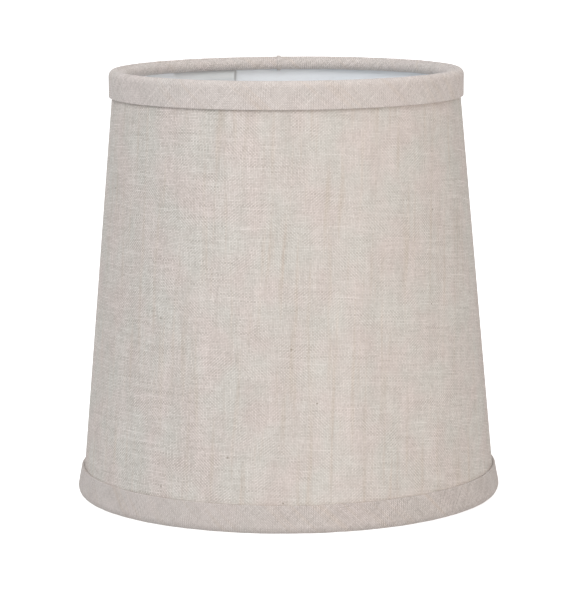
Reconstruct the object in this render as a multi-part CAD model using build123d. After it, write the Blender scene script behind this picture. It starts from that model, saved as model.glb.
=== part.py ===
from build123d import *
from math import acos, atan2, cos, pi, sin, sqrt
import os

# Small tapered drum lamp shade: linen bonded to a styrene sheet, rolled and lap-seamed, with
# a wire ring and a folded bias trim at each rim, and a sprung wire clip that grips the bulb.
# Millimetres. +Z up, origin at the centre of the bottom rim, front towards -Y.

# Driving dimensions
HEIGHT = 151.9              # over both trims
BOTTOM_DIAMETER = 152.2     # over the bottom trim, 6 in nominal
TOP_DIAMETER = 126.3        # over the top trim, 5 in nominal
COVER_BOTTOM_RADIUS = 74.55  # outer face of the linen, run down to Z = 0
COVER_TOP_RADIUS = 61.2     # the same, run up to Z = HEIGHT

LINEN = 0.45                # woven cover
STYRENE = 0.40              # hardback sheet
BOND = 0.10                 # adhesive between linen and styrene, and round the glued rings
SHEET = LINEN + BOND + STYRENE

RING_WIRE = 2.7             # diameter of the two ring wires
EDGE_DEPTH = 1.15           # from a rim down to the cut edge of the sheet
RING_DEPTH = 2.6            # from a rim down to the centre of its ring wire
TRIM_WIDTH = 9.6            # how far a trim reaches down the outside
TRIM_THICKNESS = 0.6        # bias tape and its adhesive where it wraps the ring
TRIM_EDGE = 1.10            # the same at its free outside edge, over the turned-in hem
TRIM_WIDEST_DEPTH = 2.3     # from a rim down to where its trim is widest
RIM_FLAT = 1.0              # width of the flat that the folded edge is pressed to
RIM_BULGE = (0.42, 1.45)    # a point on the rounded shoulder, in and up from the widest part
HEM_ROUND = 0.4             # radius of the hem's fold

SEAM_ANGLE = 109.0          # free end of the sheet inside the lap, degrees from +X
LAP = 10.7                  # degrees of overlap, half an inch at mid-height
LAP_STEP = 1.2              # how far the inner end steps in: the sheet, the tape and slack
JOGGLE = 0.5                # degrees taken by each step wall
JOGGLE_PITCH = 0.9          # degrees from the linen's step to the styrene's
LAP_CLEAR = 5.2             # the inner end stops this far from each rim, clear of the ring
TAPE_THICKNESS = 0.19
TAPE_INSET = 2.0            # the tape is this much shorter than the lap at each end

FITTER_WIRE = 2.3           # diameter of the bridge wire
BRIDGE_Z = 134.0            # height of its straight middle
BRIDGE_HALF = 47.0          # half-length of that middle
BRIDGE_SHOULDER_Z = 143.5   # where each arm turns up to the ring
BRIDGE_BEND = 6.0
SHOULDER_BEND = 4.0
LEG_CLEARANCE = 0.35        # round each leg, where the trim is snipped for it

SADDLE_LENGTH = 9.0         # along the bridge
SADDLE_WALL = 0.55
CRIMP_GAP = 0.03            # round the bridge wire
BARREL_GAP = 0.05           # running clearance round a loop's top bar
BARREL_Y = 3.1              # centre of each barrel from the bridge
BARREL_DROP = 1.4
SADDLE_WEB = 1.2            # height of the strap between its barrels

LOOP_WIRE = 1.6
# Half of the front loop, from the middle of its top bar to the middle of its foot:
# shoulder, bow round the widest part of the bulb, waist below it, and flared foot.
LOOP_TOP = (8.6, -BARREL_Y, BRIDGE_Z - BARREL_DROP)
LOOP_SHOULDER = (11.8, -13.6, 116.0)
LOOP_BOW = (12.2, -14.6, 103.0)
LOOP_WAIST = (11.8, -12.4, 91.5)
LOOP_FOOT = (8.6, -16.6, 83.5)
LOOP_RADII = [2.6, 18.0, 18.0, 5.0, 4.5]

TAPER = (COVER_BOTTOM_RADIUS - COVER_TOP_RADIUS) / HEIGHT


def cover_radius(z):
    """Outer radius of the linen at height z."""
    return COVER_BOTTOM_RADIUS - TAPER * z


def liner_radius(z):
    """Inner radius of the styrene at height z."""
    return cover_radius(z) - SHEET


def ring_radius(z):
    """Centre-line radius of a ring wire glued inside the sheet at height z."""
    return liner_radius(z) - BOND - RING_WIRE / 2


TOP_RING_Z = HEIGHT - RING_DEPTH
BOTTOM_RING_Z = RING_DEPTH


def cone_sector(low, high, depth_out, depth_in, start, arc):
    """Part of a conical layer between two heights, two depths under the linen, two angles."""
    corners = [
        (cover_radius(low) - depth_in, 0, low),
        (cover_radius(low) - depth_out, 0, low),
        (cover_radius(high) - depth_out, 0, high),
        (cover_radius(high) - depth_in, 0, high),
    ]
    section = make_face(Polyline(*corners, close=True))
    return Rot(0, 0, start) * revolve(section, axis=Axis.Z, revolution_arc=arc)


def layer(depth_out, depth_in, step_start):
    """One layer of the rolled sheet: the main wrap, the step wall and the tongue in the lap."""
    low, high = EDGE_DEPTH, HEIGHT - EDGE_DEPTH
    lap_low, lap_high = LAP_CLEAR, HEIGHT - LAP_CLEAR
    outer_end = SEAM_ANGLE + LAP
    wrap = cone_sector(low, high, depth_out, depth_in, step_start, 360 - (step_start - outer_end))
    step = cone_sector(lap_low, lap_high, depth_out, LAP_STEP + depth_in, step_start, JOGGLE)
    tongue_arc = step_start + JOGGLE - SEAM_ANGLE
    tongue = cone_sector(
        lap_low, lap_high, LAP_STEP + depth_out, LAP_STEP + depth_in, SEAM_ANGLE, tongue_arc
    )
    return wrap + step + tongue


def linen_cover():
    return layer(0, LINEN, SEAM_ANGLE + LAP + JOGGLE)


def styrene_liner():
    return layer(LINEN + BOND, SHEET, SEAM_ANGLE + LAP + JOGGLE + JOGGLE_PITCH)


def seam_tape():
    middle = (SHEET + LAP_STEP) / 2
    inset = TAPE_INSET / 2
    return cone_sector(
        LAP_CLEAR + TAPE_INSET,
        HEIGHT - LAP_CLEAR - TAPE_INSET,
        middle - TAPE_THICKNESS / 2,
        middle + TAPE_THICKNESS / 2,
        SEAM_ANGLE + inset,
        LAP - 2 * inset,
    )


def ring_wire(z):
    return Pos(0, 0, z) * Torus(ring_radius(z), RING_WIRE / 2)


def tangent_angle(point, centre, radius):
    """Angle at which a line from point meets a circle, on the side away from the wall."""
    across, along = point[0] - centre[0], point[1] - centre[1]
    distance = sqrt(across**2 + along**2)
    return atan2(along, across) + acos(radius / distance)


def trim(at_top):
    """Bias trim as a ring: down the outside, over the cut edge, and round the ring wire.

    Its section is drawn in radius and depth below the rim, then set at its own rim.
    """
    widest = (TOP_DIAMETER if at_top else BOTTOM_DIAMETER) / 2
    ring = RING_WIRE / 2

    def height(depth):
        return HEIGHT - depth if at_top else depth

    def point(radius, depth):
        return (radius, 0, height(depth))

    def on_circle(radius, angle):
        return (wire_r + radius * cos(angle), RING_DEPTH - radius * sin(angle))

    wire_r = ring_radius(height(RING_DEPTH))
    wrap_in = ring + BOND
    wrap_out = wrap_in + TRIM_THICKNESS
    fold_r = cover_radius(height(0)) - LINEN

    fold = (fold_r - RIM_FLAT / 2, 0)
    centre = (wire_r, RING_DEPTH)
    # Angles about the ring wire run from the wall (0) over the rim side (pi / 2)
    start = tangent_angle((fold[0], -fold[1]), (centre[0], -centre[1]), wrap_out)
    end = 3 * pi / 2
    contact = acos(ring / wrap_in)
    tuck_depth = RING_DEPTH + wrap_out
    tuck_r = liner_radius(height(tuck_depth)) - BOND
    edge = EDGE_DEPTH - BOND
    inside = liner_radius(height(edge)) - BOND
    outside = cover_radius(height(edge)) + BOND
    hem_in = cover_radius(height(TRIM_WIDTH)) + BOND
    hem_out = cover_radius(height(TRIM_WIDTH)) + TRIM_EDGE
    hem_soft = HEM_ROUND * (1 - sqrt(0.5))

    def bend(radius, first, last):
        spots = [on_circle(radius, angle) for angle in (first, (first + last) / 2, last)]
        return ThreePointArc(*[point(*spot) for spot in spots])

    outline = [
        Line(point(hem_in, TRIM_WIDTH), point(hem_out - HEM_ROUND, TRIM_WIDTH)),
        ThreePointArc(
            point(hem_out - HEM_ROUND, TRIM_WIDTH),
            point(hem_out - hem_soft, TRIM_WIDTH - hem_soft),
            point(hem_out, TRIM_WIDTH - HEM_ROUND),
        ),
        Line(point(hem_out, TRIM_WIDTH - HEM_ROUND), point(widest, TRIM_WIDEST_DEPTH)),
        ThreePointArc(
            point(widest, TRIM_WIDEST_DEPTH),
            point(widest - RIM_BULGE[0], TRIM_WIDEST_DEPTH - RIM_BULGE[1]),
            point(fold_r + RIM_FLAT / 2, 0),
        ),
        Line(point(fold_r + RIM_FLAT / 2, 0), point(*fold)),
        Line(point(*fold), point(*on_circle(wrap_out, start))),
        bend(wrap_out, start, end),
        Line(point(*on_circle(wrap_out, end)), point(tuck_r, tuck_depth)),
        Line(point(tuck_r, tuck_depth), point(*on_circle(wrap_in, 2 * pi - contact))),
        bend(wrap_in, 2 * pi - contact, contact),
        Line(point(*on_circle(wrap_in, contact)), point(inside, edge)),
        Line(point(inside, edge), point(outside, edge)),
        Line(point(outside, edge), point(hem_in, TRIM_WIDTH)),
    ]
    return revolve(make_face(Wire(outline)), axis=Axis.Z)


def top_trim():
    """The top trim is snipped round each leg of the bridge."""
    body = trim(at_top=True)
    snip_top = TOP_RING_Z - RING_WIRE / 4
    snip_low = TOP_RING_Z - RING_WIRE / 2 - BOND - 2 * TRIM_THICKNESS
    snip = Cylinder(FITTER_WIRE / 2 + LEG_CLEARANCE, snip_top - snip_low)
    for side in (-1, 1):
        body -= Pos(side * ring_radius(TOP_RING_Z), 0, (snip_top + snip_low) / 2) * snip
    return body


def wire(points, radii, diameter):
    """Round wire along straight runs joined by tangent bends."""
    path = FilletPolyline(*points, radius=radii)
    return sweep(Plane(path @ 0, z_dir=path % 0) * Circle(diameter / 2), path=path)


def fitter_crossbar(ring):
    """Recessed bridge wire; its ends are ground to sit on the underside of the ring."""
    leg_x = ring_radius(TOP_RING_Z)
    half = [(leg_x, 0, TOP_RING_Z), (leg_x, 0, BRIDGE_SHOULDER_Z), (BRIDGE_HALF, 0, BRIDGE_Z)]
    other = [(-x, y, z) for x, y, z in reversed(half)]
    radii = [SHOULDER_BEND, BRIDGE_BEND, BRIDGE_BEND, SHOULDER_BEND]
    return (wire(half + other, radii, FITTER_WIRE) - ring).solid()


def clip_saddle():
    """Strap folded over the bridge, with a rolled barrel each side for a loop's top bar."""
    barrel_z = BRIDGE_Z - BARREL_DROP
    crimp_r = FITTER_WIRE / 2 + CRIMP_GAP
    barrel_r = LOOP_WIRE / 2 + BARREL_GAP
    section = Pos(0, BRIDGE_Z) * Circle(crimp_r + SADDLE_WALL)
    section += Pos(0, BRIDGE_Z - SADDLE_WEB) * Rectangle(2 * BARREL_Y, SADDLE_WEB)
    bores = Pos(0, BRIDGE_Z) * Circle(crimp_r)
    for side in (-1, 1):
        section += Pos(side * BARREL_Y, barrel_z) * Circle(barrel_r + SADDLE_WALL)
        bores += Pos(side * BARREL_Y, barrel_z) * Circle(barrel_r)
    strap = extrude(Plane.YZ * (section - bores), SADDLE_LENGTH / 2, both=True)
    return strap.solid()


def clip_loop_front():
    top_y, top_z = LOOP_TOP[1:]
    foot_y, foot_z = LOOP_FOOT[1:]
    points = [(0, top_y, top_z), LOOP_TOP, LOOP_SHOULDER, LOOP_BOW, LOOP_WAIST, LOOP_FOOT]
    points.append((0, foot_y, foot_z))
    half = wire(points, LOOP_RADII, LOOP_WIRE)
    return (half + mirror(half, about=Plane.YZ)).solid()


def build():
    top_ring = ring_wire(TOP_RING_Z)
    front_loop = clip_loop_front()
    return {
        "linen_cover": linen_cover(),
        "styrene_liner": styrene_liner(),
        "seam_tape": seam_tape(),
        "top_ring_wire": top_ring,
        "bottom_ring_wire": ring_wire(BOTTOM_RING_Z),
        "top_trim": top_trim(),
        "bottom_trim": trim(at_top=False),
        "fitter_crossbar": fitter_crossbar(top_ring),
        "clip_saddle": clip_saddle(),
        "clip_loop_front": front_loop,
        "clip_loop_rear": Rot(0, 0, 180) * front_loop,
    }


os.makedirs("parts", exist_ok=True)
for node, shape in build().items():
    export_step(shape, f"parts/{node}.step")
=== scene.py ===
"""Small linen hardback lamp shade: cloth, trims, liner and fitter finishes round its frame."""

import math

import bmesh
import bpy
import numpy as np
from mathutils import Matrix, Vector


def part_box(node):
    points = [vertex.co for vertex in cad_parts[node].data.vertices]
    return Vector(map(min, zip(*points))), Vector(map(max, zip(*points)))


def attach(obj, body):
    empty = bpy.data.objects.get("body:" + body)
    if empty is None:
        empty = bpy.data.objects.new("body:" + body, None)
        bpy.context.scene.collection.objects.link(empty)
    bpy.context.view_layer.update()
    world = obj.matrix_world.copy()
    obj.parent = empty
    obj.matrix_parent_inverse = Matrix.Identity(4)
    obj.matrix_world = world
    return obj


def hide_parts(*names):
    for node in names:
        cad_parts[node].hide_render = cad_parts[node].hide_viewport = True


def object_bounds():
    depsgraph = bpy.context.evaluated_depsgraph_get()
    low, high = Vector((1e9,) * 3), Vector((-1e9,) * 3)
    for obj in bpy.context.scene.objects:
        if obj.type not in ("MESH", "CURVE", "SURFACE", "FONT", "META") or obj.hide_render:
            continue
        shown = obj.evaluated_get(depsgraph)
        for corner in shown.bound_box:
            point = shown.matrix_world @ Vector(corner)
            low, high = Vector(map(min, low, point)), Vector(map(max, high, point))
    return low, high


bl_info = {
    "name": "Linen Lamp Shade",
    "version": (1, 0, 0),
    "blender": (4, 5, 0),
    "location": "3D View > Sidebar > Lamp Shade",
    "description": "Builds the linen cover, bias trims, styrene liner and clip of a small shade",
    "category": "Add Mesh",
}

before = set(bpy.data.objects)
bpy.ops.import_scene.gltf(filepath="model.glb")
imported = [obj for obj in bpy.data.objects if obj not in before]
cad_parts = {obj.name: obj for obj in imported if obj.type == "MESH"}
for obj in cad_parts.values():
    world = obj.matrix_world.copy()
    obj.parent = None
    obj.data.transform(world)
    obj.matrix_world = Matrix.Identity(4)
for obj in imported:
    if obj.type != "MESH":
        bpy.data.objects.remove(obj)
CAD_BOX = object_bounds()

MM = 0.001
TURN = 2 * math.pi
UV_NAME = "Weave"

# The sheet is linen bonded to styrene; a ring wire is glued inside it near each rim.
BOND = 0.10 * MM
LINEN = 0.45 * MM
STYRENE = 0.40 * MM
SHEET = LINEN + BOND + STYRENE

RIM_Z = {"bottom": CAD_BOX[0][2], "top": CAD_BOX[1][2]}


def ring_section(rim):
    """Centre-line radius, height and half-thickness of a rim's ring wire."""
    low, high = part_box(f"{rim}_ring_wire")
    half = (high[2] - low[2]) / 2
    return high[0] - half, (low[2] + high[2]) / 2, half


def cone(z):
    """Outer radius of the linen at height z, from the two ring wires glued inside it."""
    low_r, low_z, low_half = ring_section("bottom")
    high_r, high_z, high_half = ring_section("top")
    slope = (high_r + high_half - low_r - low_half) / (high_z - low_z)
    return low_r + low_half + BOND + SHEET + slope * (z - low_z)


HALF_ANGLE = math.atan((cone(RIM_Z["bottom"]) - cone(RIM_Z["top"])) / RIM_Z["top"])
TRIM_FALL = RIM_Z["top"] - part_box("top_trim")[0][2]

# The sheet's inner end is cut short of both rings, so that it can step in past them.
LAP_LOW = 4.9 * MM
LAP_HIGH = RIM_Z["top"] - LAP_LOW

# Below a rim, where its trim stands out widest
SHOULDER_DEPTH = 2.3 * MM

# How finely the strips are built: columns round the shade, and rows up its wall
WALL_COLUMNS = 741
WALL_ROWS = 42
TRIM_COLUMNS = 721

# The stiff sheet is out of round by a hair, in long waves
WALL_RIPPLE = 0.10 * MM
WALL_WAVE = 45 * MM

# The puckers of a bias tape, and how its end laps its start
PUCKER_LENGTH = 6 * MM
TRIM_LAP = math.radians(1.0)
TRIM_LAP_STEP = 0.45 * MM

# Width of the painted shadow on the outer layer beside the sheet's inner end
SEAM_SHADOW_WIDTH = math.radians(1.3)


# ---------------------------------------------------------------- settings


def colour(hex_code):
    """An sRGB hex colour as linear red, green, blue and alpha."""
    channels = [int(hex_code[k:k + 2], 16) / 255 for k in (1, 3, 5)]
    linear = [c / 12.92 if c <= 0.04045 else ((c + 0.055) / 1.055) ** 2.4 for c in channels]
    return (*linear, 1.0)


def colour_setting(title, text, hex_code):
    """A colour that the user may change."""
    return bpy.props.FloatVectorProperty(
        name=title, description=text, default=colour(hex_code),
        subtype="COLOR", size=4, min=0, max=1,
    )


class LinenSettings(bpy.types.PropertyGroup):
    """The cloth of the cover and the trims."""

    warp_pitch: bpy.props.FloatProperty(
        name="Warp Pitch", description="Distance between warp yarns, which run up the shade",
        default=0.594 * MM, unit="LENGTH", precision=6,
    )
    weft_pitch: bpy.props.FloatProperty(
        name="Weft Pitch", description="Distance between weft yarns, which run round the shade",
        default=0.529 * MM, unit="LENGTH", precision=6,
    )
    grain_turn: bpy.props.FloatProperty(
        name="Grain Turn", description="Where round the shade the warp runs true to its slope",
        default=math.radians(-31), subtype="ANGLE",
    )
    yarn_relief: bpy.props.FloatProperty(
        name="Yarn Relief", description="Height of a yarn's crown over the gaps",
        default=0.10 * MM, unit="LENGTH", precision=6,
    )
    light: colour_setting("Light Yarn", "The palest yarns of the cover", "#E5DEDB")
    dark: colour_setting("Dark Yarn", "The least bleached yarns of the cover", "#BBB4AF")
    # Painted shade between the yarns, and the colour of the rare specks of stalk
    gap: colour_setting("Gap", "Between the yarns of the cover", "#8C8277")


class SeamSettings(bpy.types.PropertyGroup):
    """The lap seam of the rolled sheet and the joins of the trims."""

    free_end: bpy.props.FloatProperty(
        name="Inner End", description="Where the sheet's inner end lies, from +X",
        default=math.radians(109), subtype="ANGLE",
    )
    lap: bpy.props.FloatProperty(
        name="Lap", description="How far the ends of the sheet overlap",
        default=math.radians(10.7), subtype="ANGLE",
    )
    step: bpy.props.FloatProperty(
        name="Lap Step", description="How far the inner end steps in under the outer one",
        default=1.45 * MM, unit="LENGTH", precision=6,
    )
    ramp: bpy.props.FloatProperty(
        name="Lap Ramp", description="How far the stiff sheet takes to come back out past the lap",
        default=math.radians(14), subtype="ANGLE",
    )
    turn_in: bpy.props.FloatProperty(
        name="Turned-in Edge", description="Linen folded over the styrene's cut edge at the lap",
        default=math.radians(0.6), subtype="ANGLE",
    )
    trim_join: bpy.props.FloatProperty(
        name="Trim Join", description="Where the end of each trim laps its start, from +X",
        default=math.radians(92.3), subtype="ANGLE",
    )


class TrimSettings(bpy.types.PropertyGroup):
    """The folded bias tape at each rim."""

    thickness: bpy.props.FloatProperty(
        name="Tape Thickness", description="Linen and its adhesive, where it wraps the ring",
        default=0.55 * MM, unit="LENGTH", precision=6,
    )
    hem_thickness: bpy.props.FloatProperty(
        name="Hem Thickness", description="At the free edge, over the turned-in hem",
        default=1.0 * MM, unit="LENGTH", precision=6,
    )
    hem_width: bpy.props.FloatProperty(
        name="Hem Width", description="How much of the tape is turned in at its free edge",
        default=6.0 * MM, unit="LENGTH",
    )
    proud: bpy.props.FloatProperty(
        name="Proud", description="How far the free edge of a trim stands off the cover",
        default=1.05 * MM, unit="LENGTH", precision=6,
    )
    pucker: bpy.props.FloatProperty(
        name="Pucker", description="Height of the small puckers in the tape",
        default=0.15 * MM, unit="LENGTH", precision=6,
    )
    top_light: colour_setting("Top Light Yarn", "The palest yarns of the top trim", "#E4DCDA")
    top_dark: colour_setting("Top Dark Yarn", "The darkest yarns of the top trim", "#BAB2AF")
    # Painted shade: the bottom trim is the same linen as the top one, drawn a shade darker as its rim
    # gets less light
    bottom_light_shaded: colour_setting("Bottom Light Yarn", "The palest yarns of the bottom trim", "#D8D0CE")
    bottom_dark_shaded: colour_setting("Bottom Dark Yarn", "The darkest yarns of the bottom trim", "#B0A8A5")
    # Painted shade between the yarns, and the colour of the rare specks of stalk
    gap: colour_setting("Gap", "Between the yarns of both trims", "#8A7F75")


class LinerSettings(bpy.types.PropertyGroup):
    """The white sheet inside the linen."""

    white: colour_setting("Sheet", "The styrene where it lies single", "#F4F7FA")
    clouded: colour_setting("Clouded", "The faint clouds in its white", "#EDF1F5")
    # Painted shade: the sheet is drawn greyer where it lies double, as less light comes through there
    lap_shade: colour_setting("Lapped", "Where it lies double", "#D6D9DA")
    # Painted shadow: the dark line on the outer layer beside the sheet's inner end, where its edge
    # stands in
    seam_shadow: colour_setting("Glue", "Dusty glue along its inner end", "#9A978F")


class FitterSettings(bpy.types.PropertyGroup):
    """The rings, the crossbar and the bulb clip."""

    coat: colour_setting("Powder Coat", "Of the rings and the crossbar", "#ECEBE6")
    coat_dull: colour_setting("Powder Coat, Dull", "Its duller clouds", "#DEDCD4")
    zinc: colour_setting("Zinc", "Of the saddle", "#C9CBCC")
    zinc_dull: colour_setting("Zinc, Dull", "Its duller patches", "#A5A7A8")
    nickel: colour_setting("Nickel", "Of the clip loops", "#D6D2CA")
    nickel_dull: colour_setting("Nickel, Dull", "Their duller patches", "#B9B3A8")
    tape: colour_setting("Tape", "In the lap seam", "#E9E4D2")
    tape_dull: colour_setting("Tape, Dull", "Its darker streaks", "#D9D1B8")


class StageSettings(bpy.types.PropertyGroup):
    """The floor, the lights and the camera."""

    focal_length: bpy.props.FloatProperty(
        name="Focal Length", description="Of the camera, in millimetres",
        default=174.14, unit="CAMERA",
    )
    camera_side: bpy.props.FloatProperty(
        name="Camera Side", description="How far to the right of the shade's axis the camera is",
        default=1.07 * MM, unit="LENGTH", precision=6,
    )
    camera_distance: bpy.props.FloatProperty(
        name="Camera Distance", description="From the shade's axis to the camera",
        default=1.0159, unit="LENGTH",
    )
    camera_height: bpy.props.FloatProperty(
        name="Camera Height", description="Of the camera over the floor",
        default=0.2243, unit="LENGTH",
    )
    camera_tilt: bpy.props.FloatProperty(
        name="Camera Tilt", description="How far the camera looks down",
        default=0.15052, subtype="ANGLE",
    )
    camera_heading: bpy.props.FloatProperty(
        name="Camera Heading", description="How far the camera looks to the left",
        default=0.00229, subtype="ANGLE",
    )
    camera_roll: bpy.props.FloatProperty(
        name="Camera Roll", description="How far the camera leans over",
        default=-0.0064, subtype="ANGLE",
    )


SETTINGS = {
    "shade_linen": LinenSettings,
    "shade_seam": SeamSettings,
    "shade_trim": TrimSettings,
    "shade_liner": LinerSettings,
    "shade_fitter": FitterSettings,
    "shade_stage": StageSettings,
}


# ---------------------------------------------------------------- nodes


def add(tree, kind, inputs=None, **settings):
    """Adds one node. An input given a node or a socket is linked, any other value is set."""
    node = tree.nodes.new(kind)
    for name, value in settings.items():
        setattr(node, name, value)
    for key, value in (inputs or {}).items():
        if isinstance(value, bpy.types.Node):
            value = value.outputs[0]
        if isinstance(value, bpy.types.NodeSocket):
            tree.links.new(value, node.inputs[key])
        else:
            node.inputs[key].default_value = value
    return node


def new_material(name):
    """An empty material and its node tree."""
    material = bpy.data.materials.new(name)
    material.use_nodes = True
    material.node_tree.nodes.clear()
    return material, material.node_tree


def yarn_system(tree, across, along, pitch, seed):
    """One set of parallel yarns: its phase, its number and a tone that changes along it."""
    count = add(tree, "ShaderNodeMath", {0: across, 1: pitch}, operation="DIVIDE")
    index = add(tree, "ShaderNodeMath", {0: count}, operation="FLOOR")
    phase = add(tree, "ShaderNodeMath", {0: count, 1: math.pi}, operation="MULTIPLY")
    # Neighbours read the noise far apart, and a yarn's tone changes over about 17 mm of it
    apart = add(tree, "ShaderNodeMath", {0: index, 1: 5.37, 2: seed}, operation="MULTIPLY_ADD")
    spun = add(tree, "ShaderNodeMath", {0: along, 1: 60.0}, operation="MULTIPLY")
    place = add(tree, "ShaderNodeCombineXYZ", {0: apart, 1: spun})
    tone = add(
        tree, "ShaderNodeTexNoise", {"Vector": place, "Scale": 1.0, "Detail": 3.0, "Roughness": 0.6},
        noise_dimensions="2D",
    )
    return phase, index, tone


def linen(name, light, dark, gap_shade_and_fleck_colour, streaks=1.0, racks=(0.4, 0.6), blotches=(0.33, 0.67)):
    """Plain-woven linen from unevenly spun flax, washed but not fully bleached.

    The eye sees a matt cloth with no gloss: round yarns with painted shade in the gaps between
    them, thick slubs along the weft painted pale as a highlight, and beige streaks up the warp.
    Reads the piece's own UV map, in metres across the warp and across the weft. Racks is the range
    of noise over which the weave leans from one diagonal to the other, and blotches the range over
    which its hue drifts.
    """
    cloth = bpy.context.scene.shade_linen
    material, tree = new_material(name)
    uv = add(tree, "ShaderNodeUVMap", uv_map=UV_NAME)

    # Yarns wander a little from true, over about 20 mm
    wander = add(tree, "ShaderNodeTexNoise", {"Vector": uv, "Scale": 50.0}, noise_dimensions="2D")
    centred = add(
        tree, "ShaderNodeVectorMath", {0: wander.outputs["Color"], 1: (0.5, 0.5, 0.5)},
        operation="SUBTRACT",
    )
    moved = add(tree, "ShaderNodeVectorMath", {0: centred, "Scale": 0.9 * MM}, operation="SCALE")
    place = add(tree, "ShaderNodeVectorMath", {0: uv, 1: moved}, operation="ADD")
    axes = add(tree, "ShaderNodeSeparateXYZ", {0: place})
    x, y = axes.outputs["X"], axes.outputs["Y"]

    # Soft noises over the cloth: how many fit in a metre across the warp and across the weft
    # (75 is one every 13 mm), their detail and roughness, and a shift that keeps them apart
    clouds = {}
    for cloud, ground, stretch, detail, roughness, shift in (
        ("racking", uv, (75.0, 60.0), 1.0, 0.5, 3.0),
        ("tightness", uv, (60.0, 120.0), 2.0, 0.5, 7.0),
        ("patches", uv, (160.0, 90.0), 4.0, 0.85, 1.0),
        ("hue", uv, (70.0, 55.0), 2.0, 0.6, 0.0),
        ("streaks", place, (420.0, 22.0), 2.0, 0.5, 5.0),
        ("bands", place, (95.0, 8.0), 2.0, 0.6, 9.0),
    ):
        spread = add(
            tree, "ShaderNodeMapping",
            {"Vector": ground, "Location": (shift, shift, 0), "Scale": (*stretch, 1.0)},
        )
        clouds[cloud] = add(
            tree, "ShaderNodeTexNoise",
            {"Vector": spread, "Scale": 1.0, "Detail": detail, "Roughness": roughness},
            noise_dimensions="2D",
        )

    warp_phase, warp_index, warp_tone = yarn_system(tree, x, y, cloth.warp_pitch, 11.0)
    weft_phase, weft_index, weft_tone = yarn_system(tree, y, x, cloth.weft_pitch, 71.0)

    # Over and under: the warp is on top where the two waves have the same sign. A yarn is
    # highest in the middle of a crossing, and its crown there is broad and flat
    warp_wave = add(tree, "ShaderNodeMath", {0: warp_phase}, operation="SINE")
    weft_wave = add(tree, "ShaderNodeMath", {0: weft_phase}, operation="SINE")
    crossing = add(tree, "ShaderNodeMath", {0: warp_wave, 1: weft_wave}, operation="MULTIPLY")
    warp_over = add(tree, "ShaderNodeMath", {0: crossing, 1: 0.0}, operation="GREATER_THAN")
    crossed = add(tree, "ShaderNodeMath", {0: crossing}, operation="ABSOLUTE")
    crown = add(tree, "ShaderNodeMath", {0: crossed, 1: 0.45}, operation="POWER")
    tone = add(tree, "ShaderNodeMix", {"Factor": warp_over, "A": weft_tone, "B": warp_tone})
    # The weft is spun less evenly than the warp
    uneven = add(tree, "ShaderNodeMix", {"Factor": warp_over, "A": 1.35, "B": 0.85})

    # The weave racks one way or the other over 12 mm or so, so one diagonal shows more
    rising = add(tree, "ShaderNodeMath", {0: warp_phase, 1: weft_phase}, operation="SUBTRACT")
    rising = add(tree, "ShaderNodeMath", {0: rising}, operation="COSINE")
    falling = add(tree, "ShaderNodeMath", {0: warp_phase, 1: weft_phase}, operation="ADD")
    falling = add(tree, "ShaderNodeMath", {0: falling}, operation="COSINE")
    falling = add(tree, "ShaderNodeMath", {0: falling, 1: -1.0}, operation="MULTIPLY")
    racked = add(
        tree, "ShaderNodeMapRange",
        {"Value": clouds["racking"], "From Min": racks[0], "From Max": racks[1]},
    )
    hatch = add(tree, "ShaderNodeMix", {"Factor": racked, "A": falling, "B": rising})
    strength = add(
        tree, "ShaderNodeMapRange",
        {
            "Value": clouds["tightness"],
            "From Min": 0.3, "From Max": 0.7, "To Min": 0.3, "To Max": 1.5,
        },
    )
    hatch = add(tree, "ShaderNodeMath", {0: hatch, 1: strength}, operation="MULTIPLY")

    # Painted light: on some sides of the cone the yarns stand apart from 0.75 to 1.45 times as
    # clearly as on others, as grazing light shows them more there
    side = add(tree, "ShaderNodeMath", {0: x, 1: -30.0, 2: 30.0}, operation="MULTIPLY_ADD")
    side_light_contrast = add(tree, "ShaderNodeMath", {0: side}, operation="SINE")
    side_light_contrast = add(tree, "ShaderNodeMath", {0: side_light_contrast, 1: 0.35, 2: 1.1}, operation="MULTIPLY_ADD")

    # Each crossing differs a little, as yarn thickness does, and a few hold a speck of stalk
    cell = add(tree, "ShaderNodeCombineXYZ", {0: warp_index, 1: weft_index})
    spot = add(tree, "ShaderNodeTexWhiteNoise", {"Vector": cell}, noise_dimensions="2D")

    # Thick slubs lie along the weft, up to 15 mm long; they stand proud and are painted pale there, a
    # painted highlight
    slub_place = add(tree, "ShaderNodeMath", {0: x, 1: 30.0}, operation="MULTIPLY")
    slub_line = add(tree, "ShaderNodeMath", {0: weft_index, 1: 7.31}, operation="MULTIPLY")
    slub_at = add(tree, "ShaderNodeCombineXYZ", {0: slub_place, 1: slub_line})
    slub = add(
        tree, "ShaderNodeTexNoise", {"Vector": slub_at, "Scale": 1.0, "Detail": 1.0},
        noise_dimensions="2D",
    )
    slub = add(tree, "ShaderNodeMapRange", {"Value": slub, "From Min": 0.72, "From Max": 0.93})

    # Less bleached warp yarns, two or three together, show as beige streaks
    streak = add(
        tree, "ShaderNodeMapRange",
        {"Value": clouds["streaks"], "From Min": 0.56, "From Max": 0.82},
    )

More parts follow.
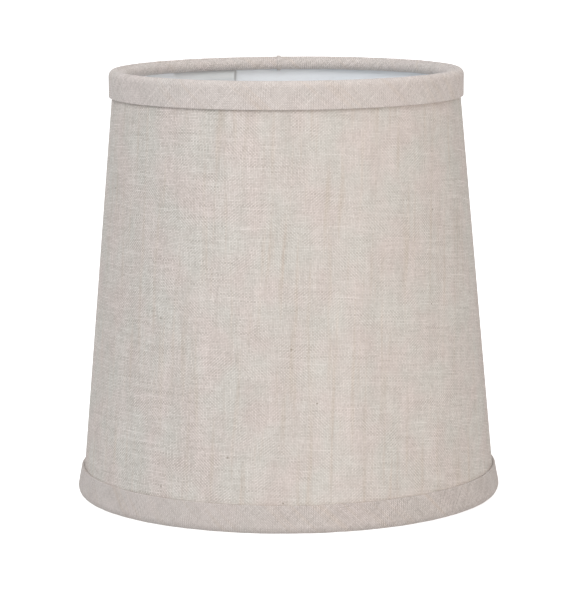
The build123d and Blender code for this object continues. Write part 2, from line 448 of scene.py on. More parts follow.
    # How light the yarn is here: 0 is the dark colour and 1 the light one. Each row is a value, its
    # middle and its weight. The yarns' own differences grow where the painted side light shows them
    # more
    light_here = 0.0
    for value, middle, weight in ((hatch, 0.0, 0.2), (tone, 0.5, uneven), (spot, 0.5, 0.36)):
        away = add(tree, "ShaderNodeMath", {0: value, 1: middle}, operation="SUBTRACT")
        light_here = add(
            tree, "ShaderNodeMath", {0: away, 1: weight, 2: light_here}, operation="MULTIPLY_ADD",
        )
    light_here = add(
        tree, "ShaderNodeMath", {0: light_here, 1: side_light_contrast, 2: 0.56}, operation="MULTIPLY_ADD",
    )
    for value, middle, weight in (
        (clouds["patches"], 0.5, 0.5),
        (clouds["bands"], 0.5, 0.35 * streaks),
        (slub, 0.0, 0.55),
        (streak, 0.0, -0.18 * streaks),
    ):
        away = add(tree, "ShaderNodeMath", {0: value, 1: middle}, operation="SUBTRACT")
        light_here = add(
            tree, "ShaderNodeMath", {0: away, 1: weight, 2: light_here}, operation="MULTIPLY_ADD",
        )
    body = add(
        tree, "ShaderNodeMix", {"Factor": light_here, "A": dark, "B": light}, data_type="RGBA",
    )

    # Painted shade: real gaps are a tenth of a yarn wide, too fine to show, so the shade in them is
    # drawn as a soft dark edge round each crossing, never quite as dark as the gap colour. The rare
    # specks of stalk take that colour too
    gap = add(
        tree, "ShaderNodeMapRange",
        {"Value": crown, "From Min": 0.0, "From Max": 0.75, "To Min": 0.45, "To Max": 0.0},
    )
    gap = add(tree, "ShaderNodeMath", {0: gap, 1: side_light_contrast}, operation="MULTIPLY")
    flecks_and_gap_shade = add(tree, "ShaderNodeMath", {0: spot, 1: 0.9998}, operation="GREATER_THAN")
    flecks_and_gap_shade = add(tree, "ShaderNodeMath", {0: flecks_and_gap_shade, 1: 0.7, 2: gap}, operation="MULTIPLY_ADD")
    shaded = add(
        tree, "ShaderNodeMix", {"Factor": flecks_and_gap_shade, "A": body.outputs["Result"], "B": gap_shade_and_fleck_colour},
        data_type="RGBA",
    )

    # Cloudy change of hue over about 15 mm, and a warmer tint in the streaks
    hue = add(
        tree, "ShaderNodeMapRange",
        {"Value": clouds["hue"], "From Min": blotches[0], "From Max": blotches[1]},
    )
    cast = add(
        tree, "ShaderNodeMix", {"Factor": hue, "A": colour("#FBFFFD"), "B": colour("#FFFCFB")},
        data_type="RGBA",
    )
    warm = add(
        tree, "ShaderNodeMix",
        {"Factor": streak, "A": cast.outputs["Result"], "B": colour("#FFFCF6")},
        data_type="RGBA",
    )
    tinted = add(
        tree, "ShaderNodeMix",
        {"Factor": 1.0, "A": shaded.outputs["Result"], "B": warm.outputs["Result"]},
        data_type="RGBA", blend_type="MULTIPLY",
    )

    # Crowns stand up over the gaps, thick yarns stand higher, and slubs highest of all
    relief = add(tree, "ShaderNodeMath", {0: tone, 1: 0.6, 2: crown}, operation="MULTIPLY_ADD")
    relief = add(tree, "ShaderNodeMath", {0: slub, 1: 0.7, 2: relief}, operation="MULTIPLY_ADD")
    bump = add(
        tree, "ShaderNodeBump",
        {"Height": relief, "Distance": cloth.yarn_relief, "Strength": 0.6},
    )
    # Matt, with only the faint sheen of flax fuzz at grazing angles
    shader = add(
        tree, "ShaderNodeBsdfPrincipled",
        {
            "Base Color": tinted.outputs["Result"],
            "Roughness": 0.9,
            "IOR": 1.5,
            "Specular IOR Level": 0.25,
            "Sheen Weight": 0.12,
            "Sheen Roughness": 0.5,
            "Normal": bump,
        },
    )
    add(tree, "ShaderNodeOutputMaterial", {"Surface": shader})
    return material


def styrene(name, base, clouded, lap_shade, seam_shadow):
    """Extruded white styrene sheet: smooth and satin, with the faintest cloud in its white.

    Where it lies double it is painted greyer, a painted shade for the less light that comes
    through there, and a painted shadow runs dark on the outer layer beside its inner end.
    """
    material, tree = new_material(name)
    place = add(tree, "ShaderNodeTexCoord")
    # Clouds about 22 mm across, and die lines drawn as soft ripples 6 mm apart
    cloud = add(
        tree, "ShaderNodeTexNoise",
        {"Vector": place.outputs["Object"], "Scale": 45.0, "Detail": 3.0},
    )
    tint = add(tree, "ShaderNodeMix", {"Factor": cloud, "A": base, "B": clouded}, data_type="RGBA")
    # Painted shade where the sheet lies double, then a painted shadow beside its inner end
    for attribute, dim in (("lap_shade", lap_shade), ("seam_shadow", seam_shadow)):
        share = add(tree, "ShaderNodeAttribute", attribute_name=attribute)
        tint = add(
            tree, "ShaderNodeMix",
            {"Factor": share.outputs["Fac"], "A": tint.outputs["Result"], "B": dim},
            data_type="RGBA",
        )
    ripple = add(
        tree, "ShaderNodeTexNoise",
        {"Vector": place.outputs["Object"], "Scale": 160.0, "Detail": 2.0},
    )
    bump = add(
        tree, "ShaderNodeBump", {"Height": ripple, "Distance": 0.03 * MM, "Strength": 0.3},
    )
    shader = add(
        tree, "ShaderNodeBsdfPrincipled",
        {
            "Base Color": tint.outputs["Result"],
            "Roughness": 0.42,
            "IOR": 1.59,
            "Normal": bump,
        },
    )
    add(tree, "ShaderNodeOutputMaterial", {"Surface": shader})
    return material


def powder_coat(name, base, dull):
    """White powder coat baked on steel wire: satin, and rounded by a fine orange peel."""
    material, tree = new_material(name)
    place = add(tree, "ShaderNodeTexCoord")
    # Clouds about 8 mm across, and the peel's bumps 0.4 mm apart
    cloud = add(
        tree, "ShaderNodeTexNoise",
        {"Vector": place.outputs["Object"], "Scale": 130.0, "Detail": 3.0},
    )
    tint = add(tree, "ShaderNodeMix", {"Factor": cloud, "A": base, "B": dull}, data_type="RGBA")
    peel = add(
        tree, "ShaderNodeTexNoise",
        {"Vector": place.outputs["Object"], "Scale": 2500.0, "Detail": 1.0},
    )
    bump = add(
        tree, "ShaderNodeBump", {"Height": peel, "Distance": 0.02 * MM, "Strength": 0.4},
    )
    shader = add(
        tree, "ShaderNodeBsdfPrincipled",
        {"Base Color": tint.outputs["Result"], "Roughness": 0.38, "IOR": 1.5, "Normal": bump},
    )
    add(tree, "ShaderNodeOutputMaterial", {"Surface": shader})
    return material


def plated_steel(name, base, dull, roughness):
    """Nickel or zinc plate on drawn steel: bright, with fine drawing lines and dull patches."""
    material, tree = new_material(name)
    place = add(tree, "ShaderNodeTexCoord")
    # Patches about 4.5 mm across. Real drawing lines are 0.02 mm apart, too fine to show, so
    # they are drawn 0.11 mm apart
    patch = add(
        tree, "ShaderNodeTexNoise",
        {"Vector": place.outputs["Object"], "Scale": 220.0, "Detail": 4.0},
    )
    tint = add(tree, "ShaderNodeMix", {"Factor": patch, "A": base, "B": dull}, data_type="RGBA")
    rough = add(
        tree, "ShaderNodeMapRange",
        {"Value": patch, "To Min": roughness * 0.8, "To Max": roughness * 1.3},
    )
    lines = add(
        tree, "ShaderNodeMapping",
        {"Vector": place.outputs["Object"], "Scale": (600.0, 9000.0, 600.0)},
    )
    drawn = add(tree, "ShaderNodeTexNoise", {"Vector": lines, "Scale": 1.0, "Detail": 1.0})
    bump = add(
        tree, "ShaderNodeBump", {"Height": drawn, "Distance": 0.01 * MM, "Strength": 0.25},
    )
    shader = add(
        tree, "ShaderNodeBsdfPrincipled",
        {"Base Color": tint.outputs["Result"], "Metallic": 1.0, "Roughness": rough, "Normal": bump},
    )
    add(tree, "ShaderNodeOutputMaterial", {"Surface": shader})
    return material


def acrylic_tape(name, base, dull):
    """Double-sided acrylic tape on a thin film: yellowish, glossy and faintly streaked."""
    material, tree = new_material(name)
    place = add(tree, "ShaderNodeTexCoord")
    # Streaks of thicker and thinner adhesive, about 3 mm across
    streak = add(
        tree, "ShaderNodeTexNoise",
        {"Vector": place.outputs["Object"], "Scale": 300.0, "Detail": 2.0},
    )
    tint = add(tree, "ShaderNodeMix", {"Factor": streak, "A": base, "B": dull}, data_type="RGBA")
    bump = add(
        tree, "ShaderNodeBump", {"Height": streak, "Distance": 0.02 * MM, "Strength": 0.3},
    )
    shader = add(
        tree, "ShaderNodeBsdfPrincipled",
        {"Base Color": tint.outputs["Result"], "Roughness": 0.3, "IOR": 1.47, "Normal": bump},
    )
    add(tree, "ShaderNodeOutputMaterial", {"Surface": shader})
    return material


# ---------------------------------------------------------------- rolled strips


def rolled_strip_tree():
    """Geometry nodes that roll a flat strip round the axis, following a section line.

    The section is a line of edges in the X-Z plane, X the radius. One end may step off the
    strip's own surface, so that it can pass over or under the other end in a lap.
    """
    tree = bpy.data.node_groups.new("Rolled strip", "GeometryNodeTree")
    interface = tree.interface
    interface.new_socket("Section", in_out="INPUT", socket_type="NodeSocketGeometry")
    for name, kind in (
        ("Start Angle", "Float"), ("Sweep", "Float"), ("Columns", "Int"), ("Rows", "Int"),
        ("Start Step", "Float"), ("End Step", "Float"), ("Lap", "Float"), ("Ramp", "Float"),
        ("Ripple Height", "Float"), ("Ripple Length", "Float"), ("Seed", "Float"),
        ("Material", "Material"),
    ):
        interface.new_socket(name, in_out="INPUT", socket_type=f"NodeSocket{kind}")
    interface.new_socket("Strip", in_out="OUTPUT", socket_type="NodeSocketGeometry")
    given = add(tree, "NodeGroupInput").outputs

    flat = add(
        tree, "GeometryNodeMeshGrid",
        {"Size X": 1.0, "Size Y": 1.0, "Vertices X": given["Columns"], "Vertices Y": given["Rows"]},
    )
    here = add(tree, "GeometryNodeInputPosition")
    split = add(tree, "ShaderNodeSeparateXYZ", {0: here})
    u = add(tree, "ShaderNodeMath", {0: split.outputs["X"], 1: 0.5}, operation="ADD")
    v = add(tree, "ShaderNodeMath", {0: split.outputs["Y"], 1: 0.5}, operation="ADD")

    # Angle from each end of the strip, and how far the lap lifts the strip there
    gone = add(tree, "ShaderNodeMath", {0: u, 1: given["Sweep"]}, operation="MULTIPLY")
    left = add(tree, "ShaderNodeMath", {0: given["Sweep"], 1: gone}, operation="SUBTRACT")
    turned = add(tree, "ShaderNodeMath", {0: given["Start Angle"], 1: gone}, operation="ADD")
    ramp_end = add(tree, "ShaderNodeMath", {0: given["Lap"], 1: given["Ramp"]}, operation="ADD")
    lifts = []
    for distance, step in ((gone, given["Start Step"]), (left, given["End Step"])):
        near = add(
            tree, "ShaderNodeMapRange",
            {
                "Value": distance, "From Min": given["Lap"], "From Max": ramp_end,
                "To Min": 1.0, "To Max": 0.0,
            },
            interpolation_type="SMOOTHSTEP",
        )
        lifts.append(add(tree, "ShaderNodeMath", {0: near, 1: step}, operation="MULTIPLY"))
    lap_lift = add(tree, "ShaderNodeMath", {0: lifts[0], 1: lifts[1]}, operation="ADD")

    # The section at this row, and its outward normal
    line = add(tree, "GeometryNodeMeshToCurve", {"Mesh": given["Section"]})
    section = add(
        tree, "GeometryNodeSampleCurve", {"Curves": line, "Factor": v},
        mode="FACTOR", use_all_curves=True,
    )
    point = add(tree, "ShaderNodeSeparateXYZ", {0: section.outputs["Position"]})
    slope = add(tree, "ShaderNodeSeparateXYZ", {0: section.outputs["Tangent"]})

    # Small ripples: short along the strip, and hardly more than one from edge to edge
    run = add(tree, "ShaderNodeMath", {0: gone, 1: point.outputs["X"]}, operation="MULTIPLY")
    waves = add(tree, "ShaderNodeMath", {0: run, 1: given["Ripple Length"]}, operation="DIVIDE")
    drift = add(tree, "ShaderNodeMath", {0: v, 1: 1.6}, operation="MULTIPLY")
    spot = add(tree, "ShaderNodeCombineXYZ", {0: waves, 1: drift, 2: given["Seed"]})
    noise = add(tree, "ShaderNodeTexNoise", {"Vector": spot, "Scale": 1.0, "Detail": 2.0})
    around_zero = add(tree, "ShaderNodeMath", {0: noise, 1: 0.5}, operation="SUBTRACT")
    ripple = add(
        tree, "ShaderNodeMath", {0: around_zero, 1: given["Ripple Height"], 2: lap_lift},
        operation="MULTIPLY_ADD",
    )

    out_r = add(
        tree, "ShaderNodeMath",
        {0: slope.outputs["Z"], 1: ripple, 2: point.outputs["X"]}, operation="MULTIPLY_ADD",
    )
    down = add(tree, "ShaderNodeMath", {0: slope.outputs["X"], 1: -1.0}, operation="MULTIPLY")
    out_z = add(
        tree, "ShaderNodeMath",
        {0: down, 1: ripple, 2: point.outputs["Z"]}, operation="MULTIPLY_ADD",
    )
    cosine = add(tree, "ShaderNodeMath", {0: turned}, operation="COSINE")
    sine = add(tree, "ShaderNodeMath", {0: turned}, operation="SINE")
    at_x = add(tree, "ShaderNodeMath", {0: out_r, 1: cosine}, operation="MULTIPLY")
    at_y = add(tree, "ShaderNodeMath", {0: out_r, 1: sine}, operation="MULTIPLY")
    place = add(tree, "ShaderNodeCombineXYZ", {0: at_x, 1: at_y, 2: out_z})

    # Kept for the weave: the angle turned and the distance across the strip
    across = add(tree, "GeometryNodeCurveLength", {"Curve": line})
    width = add(tree, "ShaderNodeMath", {0: v, 1: across}, operation="MULTIPLY")
    marked = flat
    for name, value in (("turned", turned), ("width", width)):
        marked = add(
            tree, "GeometryNodeStoreNamedAttribute",
            {"Geometry": marked, "Name": name, "Value": value},
            data_type="FLOAT", domain="POINT",
        )
    rolled = add(tree, "GeometryNodeSetPosition", {"Geometry": marked, "Position": place})
    smooth = add(tree, "GeometryNodeSetShadeSmooth", {"Geometry": rolled})
    real = add(tree, "GeometryNodeRealizeInstances", {"Geometry": smooth})
    done = add(
        tree, "GeometryNodeSetMaterial", {"Geometry": real, "Material": given["Material"]},
    )
    add(tree, "NodeGroupOutput", {"Strip": done})
    return tree


def section_object(name, line):
    """An object whose mesh is one open line of edges in the X-Z plane."""
    mesh = bpy.data.meshes.new(name)
    edges = [(k, k + 1) for k in range(len(line) - 1)]
    mesh.from_pydata([(r, 0.0, z) for r, z in line], edges, [])
    piece = bpy.data.objects.new(name, mesh)
    bpy.context.scene.collection.objects.link(piece)
    return piece


def plain_mesh(piece):
    """Turns a piece's evaluated result into its plain mesh and clears its modifiers."""
    graph = bpy.context.evaluated_depsgraph_get()
    mesh = bpy.data.meshes.new_from_object(piece.evaluated_get(graph), depsgraph=graph)
    piece.modifiers.clear()
    piece.data = mesh
    mesh.name = piece.name


def rolled_strip(name, line, material, **sizes):
    """A strip rolled by the node tree along a section line, as a plain mesh."""
    tree = bpy.data.node_groups.get("Rolled strip") or rolled_strip_tree()
    piece = section_object(name, line)
    modifier = piece.modifiers.new("Roll", "NODES")
    modifier.node_group = tree
    sizes["Rows"] = len(line)
    sizes["Material"] = material
    for item in tree.interface.items_tree:
        if item.name in sizes:
            modifier[item.identifier] = sizes[item.name]
    plain_mesh(piece)
    return piece


def write_uv(piece, u, v):
    """Writes one UV pair for each vertex, in metres of cloth."""
    layer = piece.data.uv_layers.new(name=UV_NAME)
    loops = np.empty(len(piece.data.loops), dtype=np.int32)
    piece.data.loops.foreach_get("vertex_index", loops)
    pairs = np.stack([u, v], axis=1)[loops]
    layer.data.foreach_set("uv", pairs.astype(np.float32).ravel())


def vertex_values(piece, name):
    """What the node tree stored for each vertex under this name."""
    values = np.empty(len(piece.data.vertices), dtype=np.float32)
    piece.data.attributes[name].data.foreach_get("value", values)
    return values.astype(float)


def cone_uv(piece):
    """UV of the flat pattern: the cone unrolled, turned so that V follows the warp."""
    cloth = bpy.context.scene.shade_linen
    points = np.empty(3 * len(piece.data.vertices), dtype=np.float32)
    piece.data.vertices.foreach_get("co", points)
    height = points.reshape(-1, 3)[:, 2].astype(float)
    base_radius = cone(RIM_Z["bottom"])
    slant = base_radius / math.sin(HALF_ANGLE) - height / math.cos(HALF_ANGLE)
    front = math.radians(270)
    turned = vertex_values(piece, "turned") - front - cloth.grain_turn
    fan = turned * math.sin(HALF_ANGLE)
    write_uv(piece, slant * np.sin(fan) + 1.0, 1.0 - slant * np.cos(fan))


def bias_uv(piece, radius, up):
    """UV of a strip cut on the bias: its weft climbs at 45 degrees to the right.

    up is 1 where the section runs upwards from the hem and -1 where it runs downwards.
    """
    along = vertex_values(piece, "turned") * radius
    width = vertex_values(piece, "width") * up
    half = math.sqrt(0.5)
    write_uv(piece, (along + width) * half, (width - along) * half + 1.0)


def give_thickness(piece, thickness, edge_round, thin=None, thin_share=1.0):
    """Solid cloth or sheet: thickness goes in from the outer face, and cut edges are eased.

    Vertices where thin is true get only thin_share of the thickness.
    """
    solid = piece.modifiers.new("Thickness", "SOLIDIFY")
    solid.thickness = thickness
    solid.offset = -1.0
    solid.use_even_offset = True
    solid.use_rim = True
    if thin is not None:
        layers = piece.vertex_groups.new(name="Full thickness")
        layers.add(np.flatnonzero(~thin).tolist(), 1.0, "REPLACE")
        solid.vertex_group = layers.name
        solid.thickness_vertex_group = thin_share
    if edge_round:
        ease = piece.modifiers.new("Eased edges", "BEVEL")
        ease.width = edge_round
        ease.segments = 2
        ease.limit_method = "ANGLE"
        ease.angle_limit = math.radians(50)
    plain_mesh(piece)
    piece.vertex_groups.clear()
    for attribute in ("turned", "width"):
        piece.data.attributes.remove(piece.data.attributes[attribute])


def delete_faces(piece, unwanted):
    """Deletes the faces that unwanted(centre, vertex numbers) picks out."""
    mesh = piece.data
    work = bmesh.new()
    work.from_mesh(mesh)
    gone = [f for f in work.faces if unwanted(f.calc_center_median(), [v.index for v in f.verts])]
    bmesh.ops.delete(work, geom=gone, context="FACES")
    work.to_mesh(mesh)
    work.free()


def cut_lap_corners(piece, lap_end):
    """Cuts the stepped-in end of the sheet short of the ring wires."""
    turned = vertex_values(piece, "turned")
    delete_faces(
        piece,
        lambda centre, corners: max(turned[corners]) < lap_end
        and not LAP_LOW < centre.z < LAP_HIGH,
    )


def snip_round_legs(piece):
    """Snips the top trim's inner roll where the fitter's legs come down from the ring."""
    ring_r, ring_z, ring_half = ring_section("top")
    wire_low, wire_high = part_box("fitter_crossbar")
    reach = (wire_high - wire_low).y / 2 + 0.3 * MM

    def at_leg(centre, corners):
        inside = abs(centre.x) < ring_r + ring_half
        return inside and abs(centre.y) < reach and centre.z < ring_z - ring_half * 0.5

    delete_faces(piece, at_leg)


# ---------------------------------------------------------------- sections


def arc(centre, radius, first, last, count):
    """Points on an arc, angles from the radius axis."""
    angles = np.linspace(first, last, count)
    return [(centre[0] + radius * math.cos(a), centre[1] + radius * math.sin(a)) for a in angles]


def between(first, last, count):
    """Evenly spaced points from first up to but not including last."""
    steps = np.linspace(0, 1, count, endpoint=False)
    return [tuple(np.array(first) + (np.array(last) - np.array(first)) * s) for s in steps]


def trim_section(rim):
    """Outer face of a trim: from its hem up over the rim, then round the ring wire.

    Worked out as radius and depth below the rim, then set at its own rim.
    """
    trim = bpy.context.scene.shade_trim
    sign = -1 if rim == "top" else 1
    rim_z = RIM_Z[rim]
    ring_r, ring_z, ring_half = ring_section(rim)
    ring_depth = abs(ring_z - rim_z)
    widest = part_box(f"{rim}_trim")[1][0]

    def cover(depth):
        return cone(rim_z + sign * depth)

    wrap = ring_half + BOND + trim.thickness
    line = between((cover(TRIM_FALL) + trim.proud, TRIM_FALL), (widest, SHOULDER_DEPTH), 12)

    # A quarter bend from the shoulder to the fold over the sheet's cut edge
    fold = cover(0) - LINEN + 0.5 * MM
    for turn in np.linspace(0, math.pi / 2, 11):
        line.append((
            fold + (widest - fold) * math.cos(turn), SHOULDER_DEPTH * (1 - math.sin(turn)),
        ))

    # Flat over the cut edge, then round the wire from near its top to under it
    onto_wire, off_wire = math.radians(72), math.radians(255)
    flat = 0.9 * MM
    start = (
        ring_r + wrap * math.cos(onto_wire), ring_depth - wrap * math.sin(onto_wire),
    )
    line += between((fold - flat, 0.0), start, 5)
    line += arc((ring_r, ring_depth), wrap, -onto_wire, -off_wire, 26)

    # Tucked in under the wire, up against the sheet
    tuck = line[-1][1] + 0.12 * MM
    line.append((ring_r + ring_half * 0.3, tuck))
    line.append((cover(tuck) - SHEET - 0.12 * MM, tuck + 0.06 * MM))
    return [(r, rim_z + sign * depth) for r, depth in line]


def wall_section(inset):
    """Outer face of a layer of the sheet, from its bottom edge up."""
    low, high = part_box("linen_cover")
    tall = np.linspace(LAP_LOW, LAP_HIGH, WALL_ROWS)
    heights = [low[2], (low[2] + LAP_LOW) / 2, *tall, (LAP_HIGH + high[2]) / 2, high[2]]
    return [(cone(z) - inset, z) for z in heights]


def wall_layer(name, inset, material, short=0.0):
    """One layer of the rolled sheet, its inner end stepped in and cut clear of the rings."""
    seam = bpy.context.scene.shade_seam
    piece = rolled_strip(
        name, wall_section(inset), material,
        **{
            "Start Angle": seam.free_end, "Sweep": TURN + seam.lap - short,
            "Columns": WALL_COLUMNS, "Start Step": -seam.step, "End Step": 0.0,
            "Lap": seam.lap, "Ramp": seam.ramp,
            "Ripple Height": WALL_RIPPLE, "Ripple Length": WALL_WAVE, "Seed": 3.0,
        },
    )
    cut_lap_corners(piece, seam.free_end + seam.lap + seam.ramp)
    return piece


# ---------------------------------------------------------------- operators


class SHADE_OT_stage(bpy.types.Operator):
    """Pale floor, soft studio light and the camera"""

    bl_idname = "lamp_shade.stage"
    bl_label = "Stage"

    def execute(self, context):
        self.floor(context)
        self.lights(context)
        self.camera(context)
        context.scene.view_settings.view_transform = "Standard"
        return {"FINISHED"}

    def floor(self, context):
        """White paper, matt and even, that fades into the light round it."""
        # Metres from its middle to its edge, past the end of every view
        half = 12.0
        mesh = bpy.data.meshes.new("floor")
        # A hair under the shade, so that the two never share a plane
        down = -0.1 * MM
        corners = [(-half, -half, down), (half, -half, down), (half, half, down), (-half, half, down)]
        mesh.from_pydata(corners, [], [(0, 1, 2, 3)])
        floor = bpy.data.objects.new("floor", mesh)
        context.scene.collection.objects.link(floor)
        material, tree = new_material("White sweep paper")
        shader = add(
            tree, "ShaderNodeBsdfPrincipled",
            {
                "Base Color": colour("#F6F6F6"),
                "Roughness": 0.95,
                "Emission Color": colour("#FFFFFF"),
                "Emission Strength": 0.6,
            },
        )
        add(tree, "ShaderNodeOutputMaterial", {"Surface": shader})
        mesh.materials.append(material)
        floor.visible_diffuse = False
        floor.visible_glossy = False

    def lights(self, context):
        """A light tent, a soft key in front and a warm, low fill on the right."""
        world = bpy.data.worlds.new("Light tent")
        world.use_nodes = True
        tree = world.node_tree
        tree.nodes.clear()
        white = colour("#FFFFFF")
        # The camera sees the tent as plain white, and the shade is lit by what follows
        seen = add(tree, "ShaderNodeBackground", {"Color": white, "Strength": 1.05})
        way = add(tree, "ShaderNodeTexCoord")
        # Brighter from above and in front
        rise = add(
            tree, "ShaderNodeVectorMath", {0: way.outputs["Generated"], 1: (0.0, -0.45, 0.85)},
            operation="DOT_PRODUCT",
        )
        level = add(
            tree, "ShaderNodeMapRange",
            {
                "Value": rise.outputs["Value"], "From Min": -0.5, "From Max": 0.5,
                "To Min": 0.49, "To Max": 0.88,
            },
            interpolation_type="SMOOTHSTEP",
        )
        # The white paper under the shade throws light back up
        height = add(tree, "ShaderNodeSeparateXYZ", {0: way.outputs["Generated"]})
        bounce = add(
            tree, "ShaderNodeMapRange",
            {
                "Value": height.outputs["Z"], "From Min": -0.55, "From Max": -1.0,
                "To Min": 0.0, "To Max": 0.45,
            },
        )
        level = add(tree, "ShaderNodeMath", {0: level, 1: bounce}, operation="ADD")
        cast = add(tree, "ShaderNodeBackground", {"Color": white, "Strength": level})
        path = add(tree, "ShaderNodeLightPath")
        both = add(
            tree, "ShaderNodeMixShader",
            {0: path.outputs["Is Camera Ray"], 1: cast, 2: seen},
        )
        add(tree, "ShaderNodeOutputWorld", {"Surface": both})
        context.scene.world = world

        for name, place, aim, size, watts, tint in (
            ("key", (-0.4, -0.97, 0.92), (0, 0, 0.08), 0.5, 4.8, "#FFFFFF"),
            ("fill", (1.2, -1.2, 0.3), (0, 0, 0.08), 0.4, 4.2, "#FFE2C4"),
        ):
            light = bpy.data.lights.new(name, "AREA")
            light.shape = "SQUARE"
            light.size = size
            light.energy = watts
            light.color = colour(tint)[:3]
            lamp = bpy.data.objects.new(name, light)
            turn = (Vector(place) - Vector(aim)).to_track_quat("Z", "Y").to_matrix().to_4x4()
            lamp.matrix_world = Matrix.Translation(place) @ turn
            context.scene.collection.objects.link(lamp)

    def camera(self, context):
        """A long lens a metre away, a little above the shade's rim."""
        stage = context.scene.shade_stage
        data = bpy.data.cameras.new("camera")
        data.lens = stage.focal_length
        data.sensor_width = 36.0
        data.clip_end = 20.0
        camera = bpy.data.objects.new("camera", data)
        place = (stage.camera_side, -stage.camera_distance, stage.camera_height)
        camera.matrix_world = (
            Matrix.Translation(place)
            @ Matrix.Rotation(stage.camera_heading, 4, "Z")
            @ Matrix.Rotation(math.pi / 2 - stage.camera_tilt, 4, "X")
            @ Matrix.Rotation(stage.camera_roll, 4, "Z")
        )
        context.scene.collection.objects.link(camera)
        context.scene.camera = camera


class SHADE_OT_cover(bpy.types.Operator):
    """Linen cover, rolled to a cone with its inner end stepped in under the lap"""

    bl_idname = "lamp_shade.cover"
    bl_label = "Linen Cover"

    def execute(self, context):
        seam = context.scene.shade_seam
        cloth = context.scene.shade_linen
        material = linen("Slubby linen", cloth.light, cloth.dark, cloth.gap)
        piece = wall_layer("cover_cloth", 0.0, material)
        cone_uv(piece)
        # At its outer end the linen is turned in over the cut edge of the styrene
        end = seam.free_end + TURN + seam.lap - seam.turn_in
        thin = vertex_values(piece, "turned") < end
        give_thickness(piece, SHEET, 0.12 * MM, thin, LINEN / SHEET)
        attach(piece, "shade")
        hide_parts("linen_cover")
        return {"FINISHED"}


class SHADE_OT_liner(bpy.types.Operator):
    """Styrene liner that stiffens the linen, overlapped at the seam with it"""

    bl_idname = "lamp_shade.liner"
    bl_label = "Styrene Liner"

    def execute(self, context):
        seam = context.scene.shade_seam
        tone = context.scene.shade_liner
        material = styrene("White styrene sheet", tone.white, tone.clouded, tone.lap_shade, tone.seam_shadow)
        # It stops short of the linen's turned-in edge
        piece = wall_layer("liner_sheet", LINEN + BOND, material, 1.2 * seam.turn_in)
        gone = vertex_values(piece, "turned") - seam.free_end
        past_lap = np.clip((gone - seam.lap) / seam.ramp, 0, 1)
        beside_end = (TURN - gone) / SEAM_SHADOW_WIDTH
        # Painted shade over the lap, fading out past it, and a painted shadow on the outer layer
        # beside the inner end's edge
        for name, share in (
            ("lap_shade", 1 - past_lap), ("seam_shadow", np.where(gone < TURN, 1 - beside_end, 0)),
        ):
            attribute = piece.data.attributes.new(name, "FLOAT", "POINT")
            attribute.data.foreach_set("value", np.clip(share, 0, 1).astype(np.float32))
        give_thickness(piece, STYRENE, 0)
        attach(piece, "shade")
        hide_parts("styrene_liner")
        return {"FINISHED"}


class SHADE_OT_trims(bpy.types.Operator):
    """Bias trims folded over each rim and round its ring wire"""

    bl_idname = "lamp_shade.trims"
    bl_label = "Bias Trims"

    def execute(self, context):
        seam = context.scene.shade_seam
        trim = context.scene.shade_trim
        # Both tapes are the same linen, but the lower one is painted a shade darker: a painted shade,
        # as its rim gets less light. Both are more even than the cover, and rack one way, as cloth
        # pulled on the bias does
        for rim, seed, light, dark in (
            ("top", 17.0, trim.top_light, trim.top_dark),
            ("bottom", 29.0, trim.bottom_light_shaded, trim.bottom_dark_shaded),
        ):
            material = linen(
                f"Bias-cut linen, {rim} trim", light, dark, trim.gap,
                streaks=0.4, racks=(0.2, 0.42), blotches=(0.0, 1.0),
            )
            piece = rolled_strip(
                f"{rim}_trim_tape", trim_section(rim), material,
                **{
                    "Start Angle": seam.trim_join, "Sweep": TURN + TRIM_LAP,
                    "Columns": TRIM_COLUMNS, "Start Step": 0.0, "End Step": TRIM_LAP_STEP,
                    "Lap": TRIM_LAP, "Ramp": TRIM_LAP / 2,
                    "Ripple Height": 2 * trim.pucker, "Ripple Length": PUCKER_LENGTH,
                    "Seed": seed,
                },
            )
            if rim == "bottom":
                piece.data.flip_normals()
            bias_uv(piece, cone(RIM_Z[rim]), 1 if rim == "top" else -1)
            if rim == "top":
                snip_round_legs(piece)
            thin = vertex_values(piece, "width") > trim.hem_width
            share = trim.thickness / trim.hem_thickness
            give_thickness(piece, trim.hem_thickness, 0.3 * MM, thin, share)
            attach(piece, "shade")
            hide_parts(f"{rim}_trim")
        return {"FINISHED"}


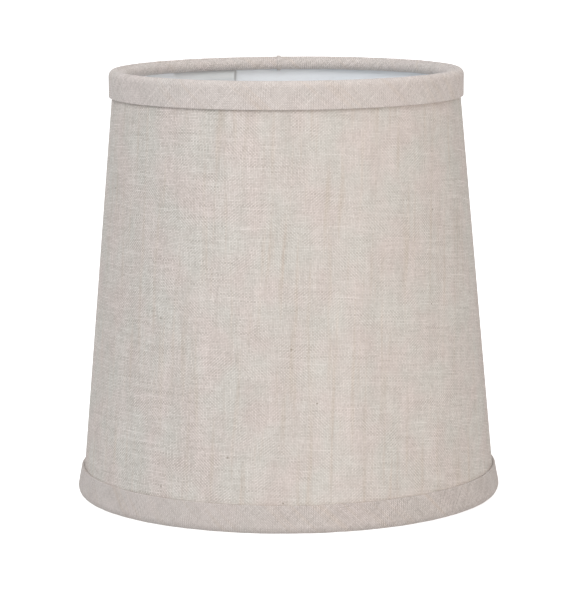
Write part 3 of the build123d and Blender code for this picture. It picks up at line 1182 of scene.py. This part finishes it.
class SHADE_OT_fitter(bpy.types.Operator):
    """Finishes of the ring wires, the crossbar, the clip and the seam tape"""

    bl_idname = "lamp_shade.fitter"
    bl_label = "Rings and Fitter"

    def execute(self, context):
        tone = context.scene.shade_fitter
        coat = powder_coat("White powder coat", tone.coat, tone.coat_dull)
        zinc = plated_steel("Zinc-plated strip", tone.zinc, tone.zinc_dull, 0.34)
        nickel = plated_steel("Nickel-plated spring wire", tone.nickel, tone.nickel_dull, 0.2)
        tape = acrylic_tape("Acrylic seam tape", tone.tape, tone.tape_dull)
        for node, material in (
            ("top_ring_wire", coat), ("bottom_ring_wire", coat), ("fitter_crossbar", coat),
            ("clip_saddle", zinc), ("clip_loop_front", nickel), ("clip_loop_rear", nickel),
            ("seam_tape", tape),
        ):
            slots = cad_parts[node].material_slots
            if not slots:
                raise RuntimeError(f"{node} has no material slot")
            for slot in slots:
                slot.material = material
        return {"FINISHED"}


OPERATORS = (SHADE_OT_stage, SHADE_OT_cover, SHADE_OT_liner, SHADE_OT_trims, SHADE_OT_fitter)


class SHADE_PT_panel(bpy.types.Panel):
    """The shade's pieces and their sizes"""

    bl_label = "Lamp Shade"
    bl_idname = "SHADE_PT_panel"
    bl_space_type = "VIEW_3D"
    bl_region_type = "UI"
    bl_category = "Lamp Shade"

    def draw(self, context):
        for operator in OPERATORS:
            self.layout.operator(operator.bl_idname)
        for name, group in SETTINGS.items():
            box = self.layout.box()
            for prop in group.__annotations__:
                box.prop(getattr(context.scene, name), prop)


CLASSES = (*SETTINGS.values(), *OPERATORS, SHADE_PT_panel)


def register():
    for cls in CLASSES:
        bpy.utils.register_class(cls)
    for name, group in SETTINGS.items():
        setattr(bpy.types.Scene, name, bpy.props.PointerProperty(type=group))


def unregister():
    for name in SETTINGS:
        delattr(bpy.types.Scene, name)
    for cls in reversed(CLASSES):
        bpy.utils.unregister_class(cls)


def main():
    register()
    bpy.ops.lamp_shade.stage()
    bpy.ops.lamp_shade.cover()
    bpy.ops.lamp_shade.liner()
    bpy.ops.lamp_shade.trims()
    bpy.ops.lamp_shade.fitter()


if __name__ == "__main__":
    main()
